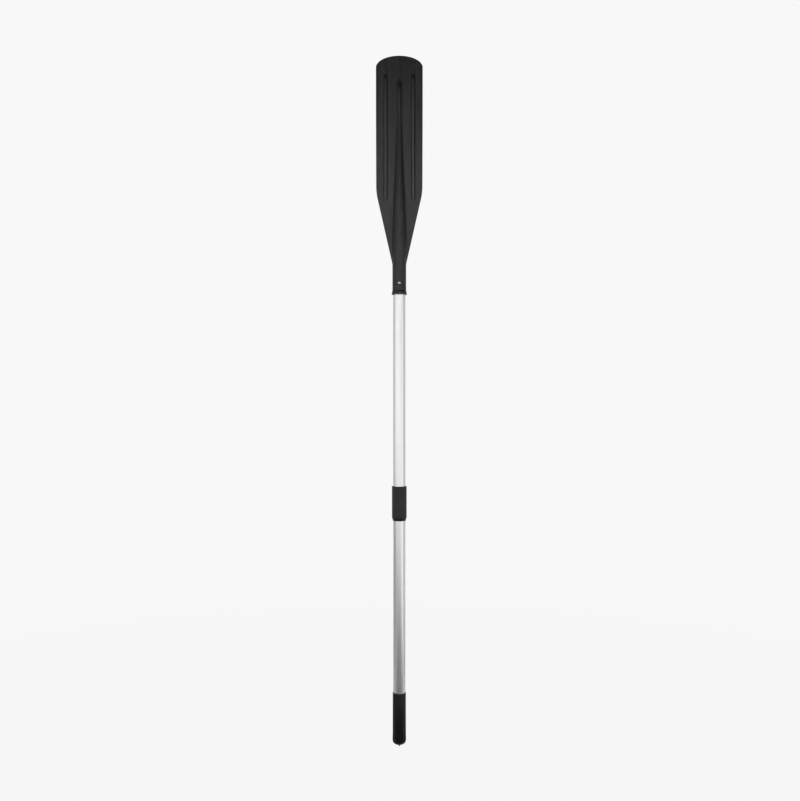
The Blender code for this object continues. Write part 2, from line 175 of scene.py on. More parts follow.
# Studio: a white room lit by panels; the metal and the gloss mirror dark and pale cards
studio = {
    "white": 0.939,             # 248 of 255 in the picture
    "ambient": 0.30,            # what the room adds to matt surfaces
    "floorHeight": -0.90,
    "floorSize": 60,
    "floorLit": 0.05,           # the share of the floor that shows light and shadow, near the oar
    "floorNear": 1.5, "floorFar": 4.0,
    "floorColour": (0.9, 0.9, 0.9),
}
whiteColour = (studio["white"],) * 3 + (1,)
lamps = {
    # place, what it points at, width, height, radiance, whether metal mirrors it
    "front_panel": ((-0.2, -3.4, 0.35), (-0.2, 0, 0.35), 5.0, 1.1, 0.34, True),
    "blade_panel": ((-0.2, -3.4, 1.56), (-0.2, 0, 1.56), 7.0, 0.26, 5.8, True),
    "left_panel": ((-2.6, -2.0, 0.5), (0, 0, 0.4), 2.6, 1.1, 0.26, True),
    "right_panel": ((2.6, -2.0, 0.1), (0, 0, 0.1), 2.6, 2.0, 0.26, True),
    "soft_key": ((-1.3, -2.6, 1.0), (0, 0, 0.4), 1.4, 1.8, 2.4, False),
    "top_light": ((0, -0.4, 3.4), (0, 0, 0), 3.0, 3.0, 2.2, False),
}
cards = {
    # place, what it faces, width, height, tone
    "upper_card": ((0, -3.4, 3.15), (0, 0, 1.2), 9.0, 3.0, 0.02),
    "ceiling_card": ((0, -0.4, 1.9), (0, -0.4, 0), 1.6, 1.3, 0.02),
    "neck_card": ((0, -3.38, 1.165), (0, 0, 1.165), 7.0, 0.53, 0.02),
    "lower_card": ((-1.1, -1.6, -0.88), (-1.1, -1.6, 3.0), 5.0, 3.0, 0.12),
    "low_left_strip": ((-1.20, -0.80, -0.60), (0, 0, -0.4), 0.50, 0.50, 0.90),
    "floor_left_strip": ((-1.45, -0.68, -0.86), (-1.45, -0.68, 3.0), 0.72, 0.96, 0.90),
    "left_card": ((-2.15, -0.15, 2.6), (0, 0, 1.6), 1.5, 1.6, 0.04),
    "right_card": ((2.02, -0.45, 2.38), (0, 0, 1.5), 2.1, 1.9, 0.02),
    "left_middle_card": ((-2.1, -0.15, 1.62), (0, 0, 1.62), 1.5, 0.42, 0.30),
    "left_foot_card": ((-2.05, -0.15, 1.2), (0, 0, 1.2), 1.5, 0.46, 0.85),
    "right_foot_card": ((2.0, -0.25, 1.2), (0, 0, 1.2), 1.5, 0.46, 0.80),
    "right_strip": ((1.6, -1.9, 0.5), (0, 0, 0.4), 0.30, 1.2, 0.30),
    "left_back_card": ((-0.55, 1.3, 0.5), (0, 0, 0.5), 0.7, 2.9, 0.20),
    "right_back_card": ((0.55, 1.3, 0.5), (0, 0, 0.5), 0.7, 2.9, 0.30),
    "left_flag": ((-1.25, 0.5, 0.3), (0, 0, 0.3), 0.40, 2.4, 0.27),
    "right_flag": ((1.28, 0.28, 0.3), (0, 0, 0.3), 0.48, 2.4, 0.32),
    "low_left_card": ((-1.35, -0.05, -0.5), (0, 0, -0.3), 0.9, 0.75, 0.48),
    "grip_card": ((-0.03, 0.55, -0.88), (-0.03, 0.55, 3.0), 1.54, 0.95, 0.02),
    "left_floor_card": ((-1.65, 0.5, -0.885), (-1.65, 0.5, 3.0), 1.1, 0.9, 0.30),
    "right_floor_card": ((1.65, 0.5, -0.885), (1.65, 0.5, 3.0), 1.1, 0.9, 0.40),
}


def backgroundRay(recipe):
    # 1 where a ray sees the background: from the camera, or mirrored or bent by metal or glass
    path = recipe.add("ShaderNodeLightPath")
    outputs = path.socket.node.outputs
    direct, mirrored, bent = [
        Signal(recipe, outputs[f"Is {kind} Ray"]) for kind in ("Camera", "Glossy", "Transmission")]
    return (direct + mirrored + bent).atMost(1)


def lightRoom():
    room = bpy.context.scene.world or bpy.data.worlds.new("room")
    bpy.context.scene.world = room
    recipe = Recipe(room)
    shown = recipe.add("ShaderNodeBackground", None, {"Color": whiteColour, "Strength": 1.0})
    lighting = recipe.add("ShaderNodeBackground", None, {
        "Color": (1, 1, 1, 1), "Strength": studio["ambient"]})
    recipe.endWith(recipe.add("ShaderNodeMixShader", None, {
        0: backgroundRay(recipe), 1: lighting, 2: shown}))


def facing(place, target):
    return (Vector(target) - Vector(place)).to_track_quat("-Z", "Y").to_euler()


def addLamps():
    for name, (place, target, width, height, radiance, mirrored) in lamps.items():
        light = bpy.data.lights.new(name, "AREA")
        light.shape = "RECTANGLE"
        light.size = width
        light.size_y = height
        light.energy = radiance * math.pi * width * height
        lamp = bpy.data.objects.new(name, light)
        lamp.location = place
        lamp.rotation_euler = facing(place, target)
        lamp.visible_camera = False
        lamp.visible_glossy = mirrored
        bpy.context.collection.objects.link(lamp)


def addSheet(name, place, turn, width, height, material):
    sheet = bmesh.new()
    bmesh.ops.create_grid(sheet, x_segments=1, y_segments=1, size=0.5)
    bmesh.ops.scale(sheet, verts=sheet.verts, vec=(width, height, 1))
    bmesh.ops.rotate(sheet, verts=sheet.verts, cent=(0, 0, 0), matrix=turn.to_matrix())
    bmesh.ops.translate(sheet, verts=sheet.verts, vec=place)
    mesh = bpy.data.meshes.new(name)
    sheet.to_mesh(mesh)
    sheet.free()
    mesh.materials.append(material)
    thing = bpy.data.objects.new(name, mesh)
    bpy.context.collection.objects.link(thing)
    return thing


def paleFloor():
    recipe = Recipe(bpy.data.materials.new("pale_floor"))
    lit = recipe.add("ShaderNodeBsdfDiffuse", None, {"Color": (*studio["floorColour"], 1)})
    plain = recipe.add("ShaderNodeEmission", None, {"Color": whiteColour, "Strength": 1.0})
    away = recipe.add("ShaderNodeVectorMath", {"operation": "LENGTH"}, {0: recipe.place()}, output="Value")
    far = recipe.step(away, studio["floorNear"], studio["floorFar"])
    share = backgroundRay(recipe) * (1 - studio["floorLit"] * (1 - far))
    recipe.endWith(recipe.add("ShaderNodeMixShader", None, {0: share, 1: lit, 2: plain}))
    return recipe.owner


def addStage():
    size = studio["floorSize"]
    level = facing((0, 0, 1), (0, 0, 0))
    addSheet("floor", (0, 0, studio["floorHeight"]), level, size, size, paleFloor())
    for name, (place, target, width, height, tone) in cards.items():
        matt = Recipe(bpy.data.materials.new(name)).finish(
            Base_Color=(tone, tone, tone, 1), Roughness=1.0, Specular_IOR_Level=0.0)
        card = addSheet(name, place, facing(place, target), width, height, matt)
        card.visible_camera = False     # only mirrored in the metal and the gloss
        card.visible_diffuse = False
        card.visible_shadow = False


bpy.context.scene.view_settings.view_transform = "Standard"
lightRoom()
addLamps()
addStage()
print("studio lit")


# Finishes
bladeFinish = {
    "dark": (0.0008, 0.0008, 0.0008), "light": (0.0125, 0.0125, 0.0125), "contrast": 2.2,
    # painted highlight: the ribs' crests are coloured lighter than the web
    "paintedHighlight": (0.018, 0.018, 0.018),
    "streaks": 160, "streakLength": 0.02, "flow": 14, "flowLength": 0.3,
    "grain": 1500, "grainDepth": 0.00012, "roughness": 0.23, "roughnessRange": 0.20, "specular": 0.43,
}
sleeveFinish = {
    "dark": (0.0012, 0.0012, 0.0012), "light": (0.0165, 0.0165, 0.0165), "contrast": 3.4,
    "streaks": 170, "streakLength": 0.04, "flow": 30, "flowLength": 1.0,
    "grain": 1700, "grainDepth": 0.00010, "roughness": 0.44, "roughnessRange": 0.10, "specular": 0.42,
}
plugFinish = {
    "dark": (0.085, 0.085, 0.09), "light": (0.11, 0.11, 0.115), "contrast": 1.0,
    "streaks": 300, "streakLength": 1.0, "flow": 40, "flowLength": 1.0,
    "grain": 1200, "grainDepth": 0.00006, "roughness": 0.5, "roughnessRange": 0.1, "specular": 0.4,
}
vinylFinish = {
    "dark": (0.0026, 0.0026, 0.0029), "light": (0.0044, 0.0044, 0.0048),
    "ripple": 150, "rippleLength": 0.5, "rippleDepth": 0.0006, "rippleStrength": 0.35,
    "pores": 1900, "poreDepth": 0.00003, "roughness": 0.28, "roughnessRange": 0.10, "specular": 0.28,
}
aluminiumFinish = {
    "dark": (0.785, 0.785, 0.783), "light": (0.845, 0.845, 0.843),
    "lines": 1500, "lineLength": 0.003, "fineLines": 4200, "fineLineLength": 0.004,
    "clouds": 12, "cloudLength": 0.5, "lineDepth": 0.000006,
    "roughness": 0.27, "roughnessRange": 0.08,
}
steelFinish = {
    "dark": (0.82, 0.82, 0.815), "light": (0.90, 0.90, 0.895),
    "scratches": 2200, "scratchLength": 0.2, "scratchDepth": 0.00001,
    "roughness": 0.30, "roughnessRange": 0.10,
}
# the first pattern's share where two are mixed; each pattern runs from 0 to 1
patternShares = {"streaks": 0.6, "mottle": 0.6, "lines": 0.5, "drawn": 0.6}
patternMiddle = 0.5
# where the painted highlight along the rib crests fades in and out
crestHighlightReach = {"footFade": 0.02, "tipStart": 0.01, "tipFade": 0.12, "inside": 0.001, "outside": 0.0003}


def weighed(share, first, second):
    return first * share + second * (1 - share)


def paintedCrestHighlight(recipe):
    # 1 along the crests of the two ribs, where a lighter colour is painted on as a highlight, and 0
    # elsewhere
    crest = blade["ribHalfWidth"] - blade["ribFlank"]
    foot, tip = blade["rim"] + blade["ribFoot"], blade["rim"] + blade["ribTip"]
    height = recipe.along("Z")
    footEnd = recipe.step(height, foot, foot + crestHighlightReach["footFade"])
    tipEnd = recipe.step(height, tip - crestHighlightReach["tipStart"], tip - crestHighlightReach["tipFade"])
    aside = (recipe.along("X").size() - blade["ribAcross"]).size()
    beside = recipe.step(aside, crest - crestHighlightReach["inside"], crest + crestHighlightReach["outside"])
    return (1 - beside) * (footEnd * tipEnd)


def mouldedPlastic(name, look, paintedHighlight=None):
    recipe = Recipe(bpy.data.materials.new(name))
    streaks = recipe.noise((1, 1, look["streakLength"]), look["streaks"], detail=3)
    flow = recipe.noise((1, 1, look["flowLength"]), look["flow"], detail=2)
    grain = recipe.noise((1, 1, 1), look["grain"], detail=3, roughness=0.6)
    pattern = weighed(patternShares["streaks"], streaks, flow)
    mottle = (pattern - patternMiddle) * look["contrast"] + patternMiddle
    gloss = weighed(patternShares["mottle"], mottle, grain)
    colour = recipe.blendColours(mottle, look["dark"], look["light"])
    # the rib crests get a painted highlight, a lighter colour than the web
    if paintedHighlight:
        colour = recipe.blendColours(paintedHighlight(recipe), colour, look["paintedHighlight"])
    return recipe.finish(
        Base_Color=colour,
        Roughness=look["roughness"] + look["roughnessRange"] * gloss,
        Specular_IOR_Level=look["specular"],
        Normal=recipe.relief(grain, look["grainDepth"]))


def dippedVinyl(name, look):
    recipe = Recipe(bpy.data.materials.new(name))
    ripple = recipe.noise((1, 1, look["rippleLength"]), look["ripple"], detail=1)
    pores = recipe.noise((1, 1, 1), look["pores"], detail=2)
    surface = ripple + pores * (look["poreDepth"] / look["rippleDepth"])
    return recipe.finish(
        Base_Color=recipe.blendColours(ripple, look["dark"], look["light"]),
        Roughness=look["roughness"] + look["roughnessRange"] * ripple,
        Specular_IOR_Level=look["specular"],
        Normal=recipe.relief(surface, look["rippleDepth"], look["rippleStrength"]))


def drawnAluminium(name, look):
    recipe = Recipe(bpy.data.materials.new(name))
    lines = recipe.noise((1, 1, look["lineLength"]), look["lines"], detail=2)
    fine = recipe.noise((1, 1, look["fineLineLength"]), look["fineLines"], detail=1)
    clouds = recipe.noise((1, 1, look["cloudLength"]), look["clouds"], detail=3)
    drawn = weighed(patternShares["lines"], lines, fine)
    tone = weighed(patternShares["drawn"], drawn, clouds)
    return recipe.finish(
        Base_Color=recipe.blendColours(tone, look["dark"], look["light"]),
        Metallic=1.0,
        Roughness=look["roughness"] + look["roughnessRange"] * tone,
        Normal=recipe.relief(drawn, look["lineDepth"]))


def brightSteel(name, look):
    recipe = Recipe(bpy.data.materials.new(name))
    scratches = recipe.noise((1, look["scratchLength"], 1), look["scratches"], detail=2)
    return recipe.finish(
        Base_Color=recipe.blendColours(scratches, look["dark"], look["light"]),
        Metallic=1.0,
        Roughness=look["roughness"] + look["roughnessRange"] * scratches,
        Normal=recipe.relief(scratches, look["scratchDepth"]))


sleevePlastic = mouldedPlastic("sleeve_plastic", sleeveFinish)
plugPlastic = mouldedPlastic("plug_plastic", plugFinish)
gripVinyl = dippedVinyl("grip_vinyl", vinylFinish)
satinAluminium = drawnAluminium("satin_aluminium", aluminiumFinish)
stainlessSteel = brightSteel("stainless_steel", steelFinish)
print("finishes mixed")


# What every piece needs
sharpAngle = math.radians(32)
slipBore = 0.0178                       # the bore of what fits over the tubes: socket, sleeve, grip


def shadeSmooth(mesh):
    mesh.shade_smooth()
    mesh.set_sharp_from_angle(angle=sharpAngle)


def asObject(name, shape, material=None):
    bmesh.ops.remove_doubles(shape, verts=shape.verts, dist=mergeDistance)
    bmesh.ops.recalc_face_normals(shape, faces=shape.faces)
    mesh = bpy.data.meshes.new(name)
    shape.to_mesh(mesh)
    shape.free()
    shadeSmooth(mesh)
    if material:
        mesh.materials.append(material)
    thing = bpy.data.objects.new(name, mesh)
    bpy.context.collection.objects.link(thing)
    return thing


def takesPlaceOf(node):
    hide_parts(node)


def standsFor(piece, node):
    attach(piece, bodyOfNode[node])
    takesPlaceOf(node)


def arc(across, height, radius, start, end, steps):
    # the points round a centre, from one angle to another in degrees
    angles = [math.radians(start + (end - start) * i / steps) for i in range(steps + 1)]
    return [(across + radius * math.cos(a), height + radius * math.sin(a)) for a in angles]


def turned(outline, steps):
    # turns (radius, height) points about Z; an outline that starts off the axis closes into a ring
    shape = bmesh.new()
    points = [shape.verts.new((radius, 0, height)) for radius, height in outline]
    pairs = list(zip(points, points[1:]))
    if outline[0][0] > 0:
        pairs.append((points[-1], points[0]))
    edges = [shape.edges.new(pair) for pair in pairs]
    bmesh.ops.spin(
        shape, geom=points + edges, axis=(0, 0, 1), cent=(0, 0, 0), angle=math.tau, steps=steps,
        use_merge=True)
    bmesh.ops.remove_doubles(shape, verts=shape.verts, dist=mergeDistance)
    bmesh.ops.recalc_face_normals(shape, faces=shape.faces)
    return shape


def roundEdges(shape, width, segments=3, sharperThan=30):
    sharp = [
        edge for edge in shape.edges
        if len(edge.link_faces) == 2 and edge.calc_face_angle(0) > math.radians(sharperThan)]
    bmesh.ops.bevel(
        shape, geom=sharp, offset=width, offset_type="OFFSET", affect="EDGES", segments=segments,
        profile=0.5, material=-1, clamp_overlap=True)
    return shape


def faceAlongY(shape, direction, height):
    # lays a shape that was turned about Z on its side, pointing to the front (-1) or the back (1)
    turn = Matrix.Rotation(-direction * quarterTurn, 3, "X")
    bmesh.ops.rotate(shape, verts=shape.verts, cent=(0, 0, 0), matrix=turn)
    bmesh.ops.translate(shape, verts=shape.verts, vec=(0, 0, height))
    return shape


def keepModified(piece):
    # the mesh that the modifiers make takes the plain one's place
    bpy.context.view_layer.update()
    graph = bpy.context.evaluated_depsgraph_get()
    mesh = bpy.data.meshes.new_from_object(piece.evaluated_get(graph))
    piece.modifiers.clear()
    piece.data = mesh


def cutHoles(piece, cutters):
    # each cutter leaves a clean hole; the large flat faces then set the shading round it
    for cutter in cutters:
        cut = piece.modifiers.new(cutter.name, "BOOLEAN")
        cut.operation = "DIFFERENCE"
        cut.solver = "EXACT"
        cut.object = cutter
    keepModified(piece)
    shadeSmooth(piece.data)
    shading = piece.modifiers.new("shading", "WEIGHTED_NORMAL")
    shading.keep_sharp = True
    for cutter in cutters:
        bpy.data.objects.remove(cutter, do_unlink=True)


def bevelledDrill(radius, start, face, edge, steps):
    # cuts a hole with a bevel of that edge where it meets the face
    return turned([
        (0, start), (radius, start), (radius, face - edge), (radius + 2 * edge, face + edge),
        (0, face + edge)], steps)


def middleOf(node):
    low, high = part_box(node)
    return (low + high) / 2


def through(stops):
    # evenly spaced values through stops of (value, steps from the stop before)
    values = [stops[0][0]]
    for value, steps in stops[1:]:
        start = values[-1]
        values += [start + (value - start) * i / steps for i in range(1, steps + 1)]
    return values


def mixed(first, second, share):
    return [a + (b - a) * share for a, b in zip(first, second)]


def ease(value, start, end):
    share = min(max((value - start) / (end - start), 0), 1)
    return share * share * (3 - 2 * share)


def softMax(first, second, reach):
    return max(first, second) + max(reach - abs(first - second), 0) ** 2 / (4 * reach)


def softMin(first, second, reach):
    return -softMax(-first, -second, reach)


# Blade: heights are above the socket's rim, and across is the distance from the oar's axis
bladeLow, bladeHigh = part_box("blade")
blade = {
    "rim": bladeLow.z, "length": bladeHigh.z - bladeLow.z,
    "lipRadius": bladeHigh.y, "lipHeight": 0.0065, "lipSlope": 0.0055, "lipEdge": 0.0007,
    "socketRadius": 0.0200, "boreDepth": 0.1366, "boreEdge": 0.0005,
    "neckHeight": 0.089, "neckHalfWidth": 0.0200, "neckSoftness": 0.0012,
    "shoulderHeight": 0.297, "shoulderHalfWidth": 0.0672, "shoulderSoftness": 0.0044,
    "halfWidth": bladeHigh.x, "fullWidthHeight": 0.56, "crown": 0.034,
    "webHalf": 0.0023, "webEdge": 0.0023,
    "spineStart": 0.1446, "slimStart": 0.504, "spineTip": 0.6150, "spineSlope": 0.019,
    "slimHalfWidth": 0.0064, "slimHalfDepth": 0.0062, "spineTaper": 1.15,
    "roundPower": 0.5, "slimPower": 0.64, "flankStart": 0.42,   # the spine's section: 0.5 is an ellipse
    "spineFillet": 0.0085, "filletShare": 2.2, "filletWidth": 0.0058,
    "rootFillet": 0.016, "rootEnd": 0.36,       # the fillet is wider where the spine leaves the socket
    "ribAcross": 0.040, "ribHalfWidth": 0.00625, "ribRise": 0.0034, "ribFlank": 0.0034,
    "ribToe": 0.0008, "ribFoot": 0.268, "ribFootSlope": 0.018, "ribTip": 0.641, "ribTipSlope": 0.012,
    "evenBelow": 0.050, "leastArc": 0.15,       # how the columns lie round the socket and its neck
    "turnsRound": 0.125, "turnsFlat": 0.22,     # where the columns change from round to flat spacing
    "lipRows": 0.0008, "holeRows": 0.009,       # the rows lie closer this near the lip's turns and the hole
    # above the hole, the heights where the rows' spacing changes, and the number of rows up to each
    "rowStops": [
        (0.086, 8), (0.130, 30), (0.262, 34), (0.298, 28), (0.500, 25), (0.600, 16), (0.650, 40)],
    "edgeRows": 6,
    "curvedRows": 0.01, "straightRows": 0.12,   # below the tip: where rows follow its curve or don't
    "holeHeight": 0.033, "holeRadius": 0.0044, "holeEdge": 0.0005, "holeInside": 0.002, "holeSteps": 48,
}


def socketWall(height):
    share = (height - blade["lipHeight"]) / blade["lipSlope"]
    slope = blade["lipRadius"] + (blade["socketRadius"] - blade["lipRadius"]) * share
    lip = softMin(blade["lipRadius"], slope, blade["lipEdge"])
    return softMax(blade["socketRadius"], lip, blade["lipEdge"])


def bladeHalfWidth(height):
    rise = blade["shoulderHeight"] - blade["neckHeight"]
    share = (height - blade["neckHeight"]) / rise
    flare = blade["neckHalfWidth"] + (blade["shoulderHalfWidth"] - blade["neckHalfWidth"]) * share
    upper = (height - blade["shoulderHeight"]) / (blade["fullWidthHeight"] - blade["shoulderHeight"])
    side = blade["shoulderHalfWidth"] + (blade["halfWidth"] - blade["shoulderHalfWidth"]) * min(upper, 1)
    wide = softMin(flare, side, blade["shoulderSoftness"])
    return softMax(socketWall(height), wide, blade["neckSoftness"])


def spineHalf(height):
    # half width and half depth of the socket and the spine that grows out of it
    if height < blade["spineStart"]:
        wall = socketWall(height)
        return wall, wall
    share = min((height - blade["spineStart"]) / (blade["slimStart"] - blade["spineStart"]), 1)
    wall = blade["socketRadius"]
    return (
        wall + (blade["slimHalfWidth"] - wall) * share ** blade["spineTaper"],
        wall + (blade["slimHalfDepth"] - wall) * share)


def tipDrop(across):
    # the tip is half an ellipse, so its outline runs smoothly into the sides
    share = min(abs(across) / blade["halfWidth"], 1)
    return blade["crown"] * (1 - math.sqrt(1 - share * share))


def insideOutline(across, height):
    side = bladeHalfWidth(height) - abs(across)
    rise = height - (blade["length"] - blade["crown"])
    if rise <= 0:
        return max(side, 0)
    wide, high = across / blade["halfWidth"], rise / blade["crown"]
    slope = 2 * math.hypot(wide / blade["halfWidth"], high / blade["crown"])
    return max(min(side, (1 - wide * wide - high * high) / slope), 0)


def ribHeightAt(across, height):
    # steep along its sides; its round tip slopes down and its foot fades out
    half, foot, tip = blade["ribHalfWidth"], blade["ribFoot"], blade["ribTip"]
    nearest = min(max(height, foot + half), tip - half)
    away = math.hypot(abs(across) - blade["ribAcross"], height - nearest)
    ends = ease(height, foot, foot + blade["ribFootSlope"]) * ease(height, tip, tip - blade["ribTipSlope"])
    return blade["ribRise"] * ends * (1 - ease(away, half - blade["ribFlank"], half + blade["ribToe"]))


def spineHeightAt(across, height):
    # past its foot the spine goes on below the web, so that the fillet runs out gently
    halfWidth, halfDepth = spineHalf(height)
    past = max(height - (blade["spineTip"] - blade["spineSlope"]), 0) / blade["spineSlope"]
    left = 1 - (across / halfWidth) ** 2 - past * past
    if left <= 0:
        return -halfWidth * (math.sqrt(1 - left) - 1)
    slim = ease(height, blade["spineStart"], blade["flankStart"])
    return halfDepth * left ** (blade["roundPower"] + (blade["slimPower"] - blade["roundPower"]) * slim)


def filletAt(height):
    # none on the socket, widest where the spine leaves it, and less where the spine is low
    root = 1 - ease(height, blade["spineStart"], blade["rootEnd"])
    widest = blade["spineFillet"] + (blade["rootFillet"] - blade["spineFillet"]) * root
    most = blade["filletShare"] * (spineHalf(height)[1] - blade["webHalf"])
    return min(widest, most) * ease(height, blade["neckHeight"], blade["turnsRound"])


def halfThickness(across, height):
    share = min(insideOutline(across, height) / blade["webEdge"], 1)
    web = blade["webHalf"] * math.sqrt(1 - (1 - share) ** 2) + ribHeightAt(across, height)
    spine = spineHeightAt(across, height)
    fillet = filletAt(height) * share
    return softMax(spine, web, fillet) if fillet > 0 else max(spine, web)


# how many columns each part of a row takes, from the blade's edge to its middle
spans = {"edge": 6, "outerWeb": 4, "flank": 5, "crest": 5, "innerWeb": 4, "fillet": 6, "spine": 18}
quarterSteps = sum(spans.values()) + spans["flank"]     # a rib has two flanks


def roundPlaces(height):
    # the columns round the socket; above it one follows the spine's foot, to keep its crease clean
    edge = bladeHalfWidth(height)
    even = [edge * math.cos(quarterTurn * i / quarterSteps) for i in range(quarterSteps + 1)]
    outside = quarterSteps - spans["spine"]
    foot = min(spineHalf(height)[0], edge * math.cos(blade["leastArc"]))
    angle = math.acos(foot / edge)
    creased = [edge * math.cos(angle * i / outside) for i in range(outside)]
    creased += [foot * math.cos(quarterTurn * i / spans["spine"]) for i in range(spans["spine"] + 1)]
    return mixed(even, creased, ease(height, blade["evenBelow"], blade["neckHeight"]))


def flatPlaces(height):
    # the columns of the flat blade, which follow its edge, the rib and the spine
    edge, spine = bladeHalfWidth(height), spineHalf(height)[0]
    settled = max(height, blade["ribFoot"] - blade["ribToe"])
    half = blade["ribHalfWidth"]
    ribs = through([
        (bladeHalfWidth(settled) - blade["webEdge"], 0),
        (blade["ribAcross"] + half + blade["ribToe"], spans["outerWeb"]),
        (blade["ribAcross"] + half - blade["ribFlank"], spans["flank"]),
        (blade["ribAcross"] - half + blade["ribFlank"], spans["crest"]),
        (blade["ribAcross"] - half - blade["ribToe"], spans["flank"]),
        (spineHalf(settled)[0] + blade["filletWidth"], spans["innerWeb"])])
    outer, inner = edge - blade["webEdge"], spine + blade["filletWidth"]
    places = [
        edge - blade["webEdge"] * (1 - math.cos(quarterTurn * i / spans["edge"]))
        for i in range(spans["edge"])]
    places += [inner + (outer - inner) * (x - ribs[-1]) / (ribs[0] - ribs[-1]) for x in ribs]
    places += through([(inner, 0), (spine, spans["fillet"])])[1:]
    return places + [
        spine * math.cos(quarterTurn * i / spans["spine"]) for i in range(1, spans["spine"] + 1)]


def columnPlaces(height):
    # how far from the middle each column of a row lies, from the blade's edge inwards
    share = ease(height, blade["turnsRound"], blade["turnsFlat"])
    return mixed(roundPlaces(height), flatPlaces(height), share)


def rowHeights():
    # the rows lie closer where the shape turns
    edge, lip, hole = blade["webEdge"], blade["lipHeight"], blade["holeHeight"]
    lipTop = lip + blade["lipSlope"]
    close, beside = blade["lipRows"], blade["holeRows"]
    flatEnd = blade["length"] - edge
    rows = through([
        (blade["lipEdge"], 0), (lip - close, 2), (lip + close, 5), (lipTop - close, 3),
        (lipTop + close, 5), (hole - beside, 4), (hole + beside, 10), *blade["rowStops"], (flatEnd, 14)])
    count = blade["edgeRows"]
    return rows + [flatEnd + edge * math.sin(quarterTurn * i / count) for i in range(1, count + 1)]


def extrudeRing(shape, ring, radius, target, height):
    # draws a round edge loop out to another radius and height
    made = bmesh.ops.extrude_edge_only(shape, edges=ring)["geom"]
    points = [item for item in made if isinstance(item, bmesh.types.BMVert)]
    lift = height - points[0].co.z
    share = target / radius
    bmesh.ops.scale(shape, verts=points, vec=(share, share, 1))
    bmesh.ops.translate(shape, verts=points, vec=(0, 0, lift))
    return [item for item in made if isinstance(item, bmesh.types.BMEdge)]


def boreSocket(shape):
    # rounds the rim and takes the bore up to the pocket's roof, whose last ring merges to a point
    radius, rounding, roof = blade["lipRadius"], blade["lipEdge"], blade["boreDepth"]
    lowest = min(point.co.z for point in shape.verts) + mergeDistance
    ring = [
        edge for edge in shape.edges
        if edge.is_boundary and all(point.co.z < lowest for point in edge.verts)]
    path = arc(radius - rounding, rounding, rounding, 0, -90, steps=4)[1:]
    path += [(slipBore + blade["boreEdge"], 0), (slipBore, blade["boreEdge"])]
    path += [(slipBore, roof), (slipBore / 2, roof), (mergeDistance / 4, roof)]
    for target, height in path:
        ring = extrudeRing(shape, ring, radius, target, blade["rim"] + height)
        radius = target


def makeBlade():
    # wraps a flat grid of 1 x 1 up: its columns go round the blade and its rows from rim to tip
    rows = rowHeights()
    columns = 4 * quarterSteps
    shape = bmesh.new()
    bmesh.ops.create_grid(shape, x_segments=columns, y_segments=len(rows) - 1, size=0.5)
    places = [columnPlaces(height) for height in rows]
    for point in shape.verts:
        column = round((point.co.x + 0.5) * columns)
        row = round((point.co.y + 0.5) * (len(rows) - 1))
        half = column % (2 * quarterSteps)
        across = places[row][min(half, 2 * quarterSteps - half)]
        if quarterSteps < column < 3 * quarterSteps:
            across = -across
        below = blade["length"] - rows[row]
        straight = ease(below, blade["curvedRows"], blade["straightRows"])
        height = rows[row] - tipDrop(across) * (1 - straight)
        depth = halfThickness(across, height)
        front = column < 2 * quarterSteps
        point.co = (across, -depth if front else depth, blade["rim"] + height)
    bmesh.ops.remove_doubles(shape, verts=shape.verts, dist=mergeDistance)
    boreSocket(shape)
    # the blade's plastic, with a painted highlight along its rib crests
    bladePlastic = mouldedPlastic("blade_plastic", bladeFinish, paintedCrestHighlight)
    piece = asObject("blade_moulding", shape, bladePlastic)
    hole = bevelledDrill(
        blade["holeRadius"], slipBore - blade["holeInside"], blade["socketRadius"], blade["holeEdge"],
        blade["holeSteps"])
    height = blade["rim"] + blade["holeHeight"]
    cutHoles(piece, [asObject("button_drill", faceAlongY(hole, -1, height))])
    standsFor(piece, "blade")


makeBlade()
print("blade moulded")


# Tubes, ferrule and their holes
tubes = {
    "wall": 0.0015, "ferruleWall": 0.002, "edge": 0.00025, "steps": 128,
    "loopRoom": 0.009, "endRoom": 0.001,        # edge loops beside each hole, kept clear of the ends
    "buttonHole": 0.0044, "rivetHole": 0.0028, "drillReach": 0.03, "drillSteps": 40,
}


def drillsFor(name, holes):
    # one cutter for each hole's height, radius and direction
    drills = []
    for i, (height, radius, direction) in enumerate(holes):
        reach = tubes["drillReach"]
        shape = turned([(0, 0), (radius, 0), (radius, reach), (0, reach)], tubes["drillSteps"])
        drills.append(asObject(f"{name}_drill_{i}", faceAlongY(shape, direction, height)))
    return drills


def makeTube(name, node, wall, holes):
    low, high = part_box(node)
    radius = high.x
    lowest, highest = low.z + tubes["endRoom"], high.z - tubes["endRoom"]
    loops = sorted({hole[0] + side * tubes["loopRoom"] for hole in holes for side in (-1, 1)})
    outline = [(radius - wall, low.z), (radius, low.z)]
    outline += [(radius, loop) for loop in loops if lowest < loop < highest]
    outline += [(radius, high.z), (radius - wall, high.z)]
    shape = roundEdges(turned(outline, tubes["steps"]), tubes["edge"])
    piece = asObject(name, shape, satinAluminium)
    cutHoles(piece, drillsFor(name, holes))
    standsFor(piece, node)


bladeButtonHeight = middleOf("blade_button").z
jointButtonHeight = middleOf("joint_button").z
rivetPlaces = ("upper", "lower")
rivetHoles = [(middleOf("joint_rivet_" + which).z, tubes["rivetHole"], 1) for which in rivetPlaces]
makeTube("upper_tube", "middle_tube", tubes["wall"], [
    (bladeButtonHeight, tubes["buttonHole"], -1), (jointButtonHeight, tubes["buttonHole"], 1)])
makeTube("lower_tube", "handle_tube", tubes["wall"], rivetHoles)
makeTube("inner_ferrule", "joint_ferrule", tubes["ferruleWall"], [
    (jointButtonHeight, tubes["buttonHole"], 1), *rivetHoles])
print("tubes drawn")


# Joint sleeve
sleeve = {
    "chamfer": 0.0096, "footWall": 0.0007, "edge": 0.0006, "steps": 144,
    "window": 0.008, "windowEdge": 0.0009, "windowRoom": 0.012, "windowSteps": 64,
}


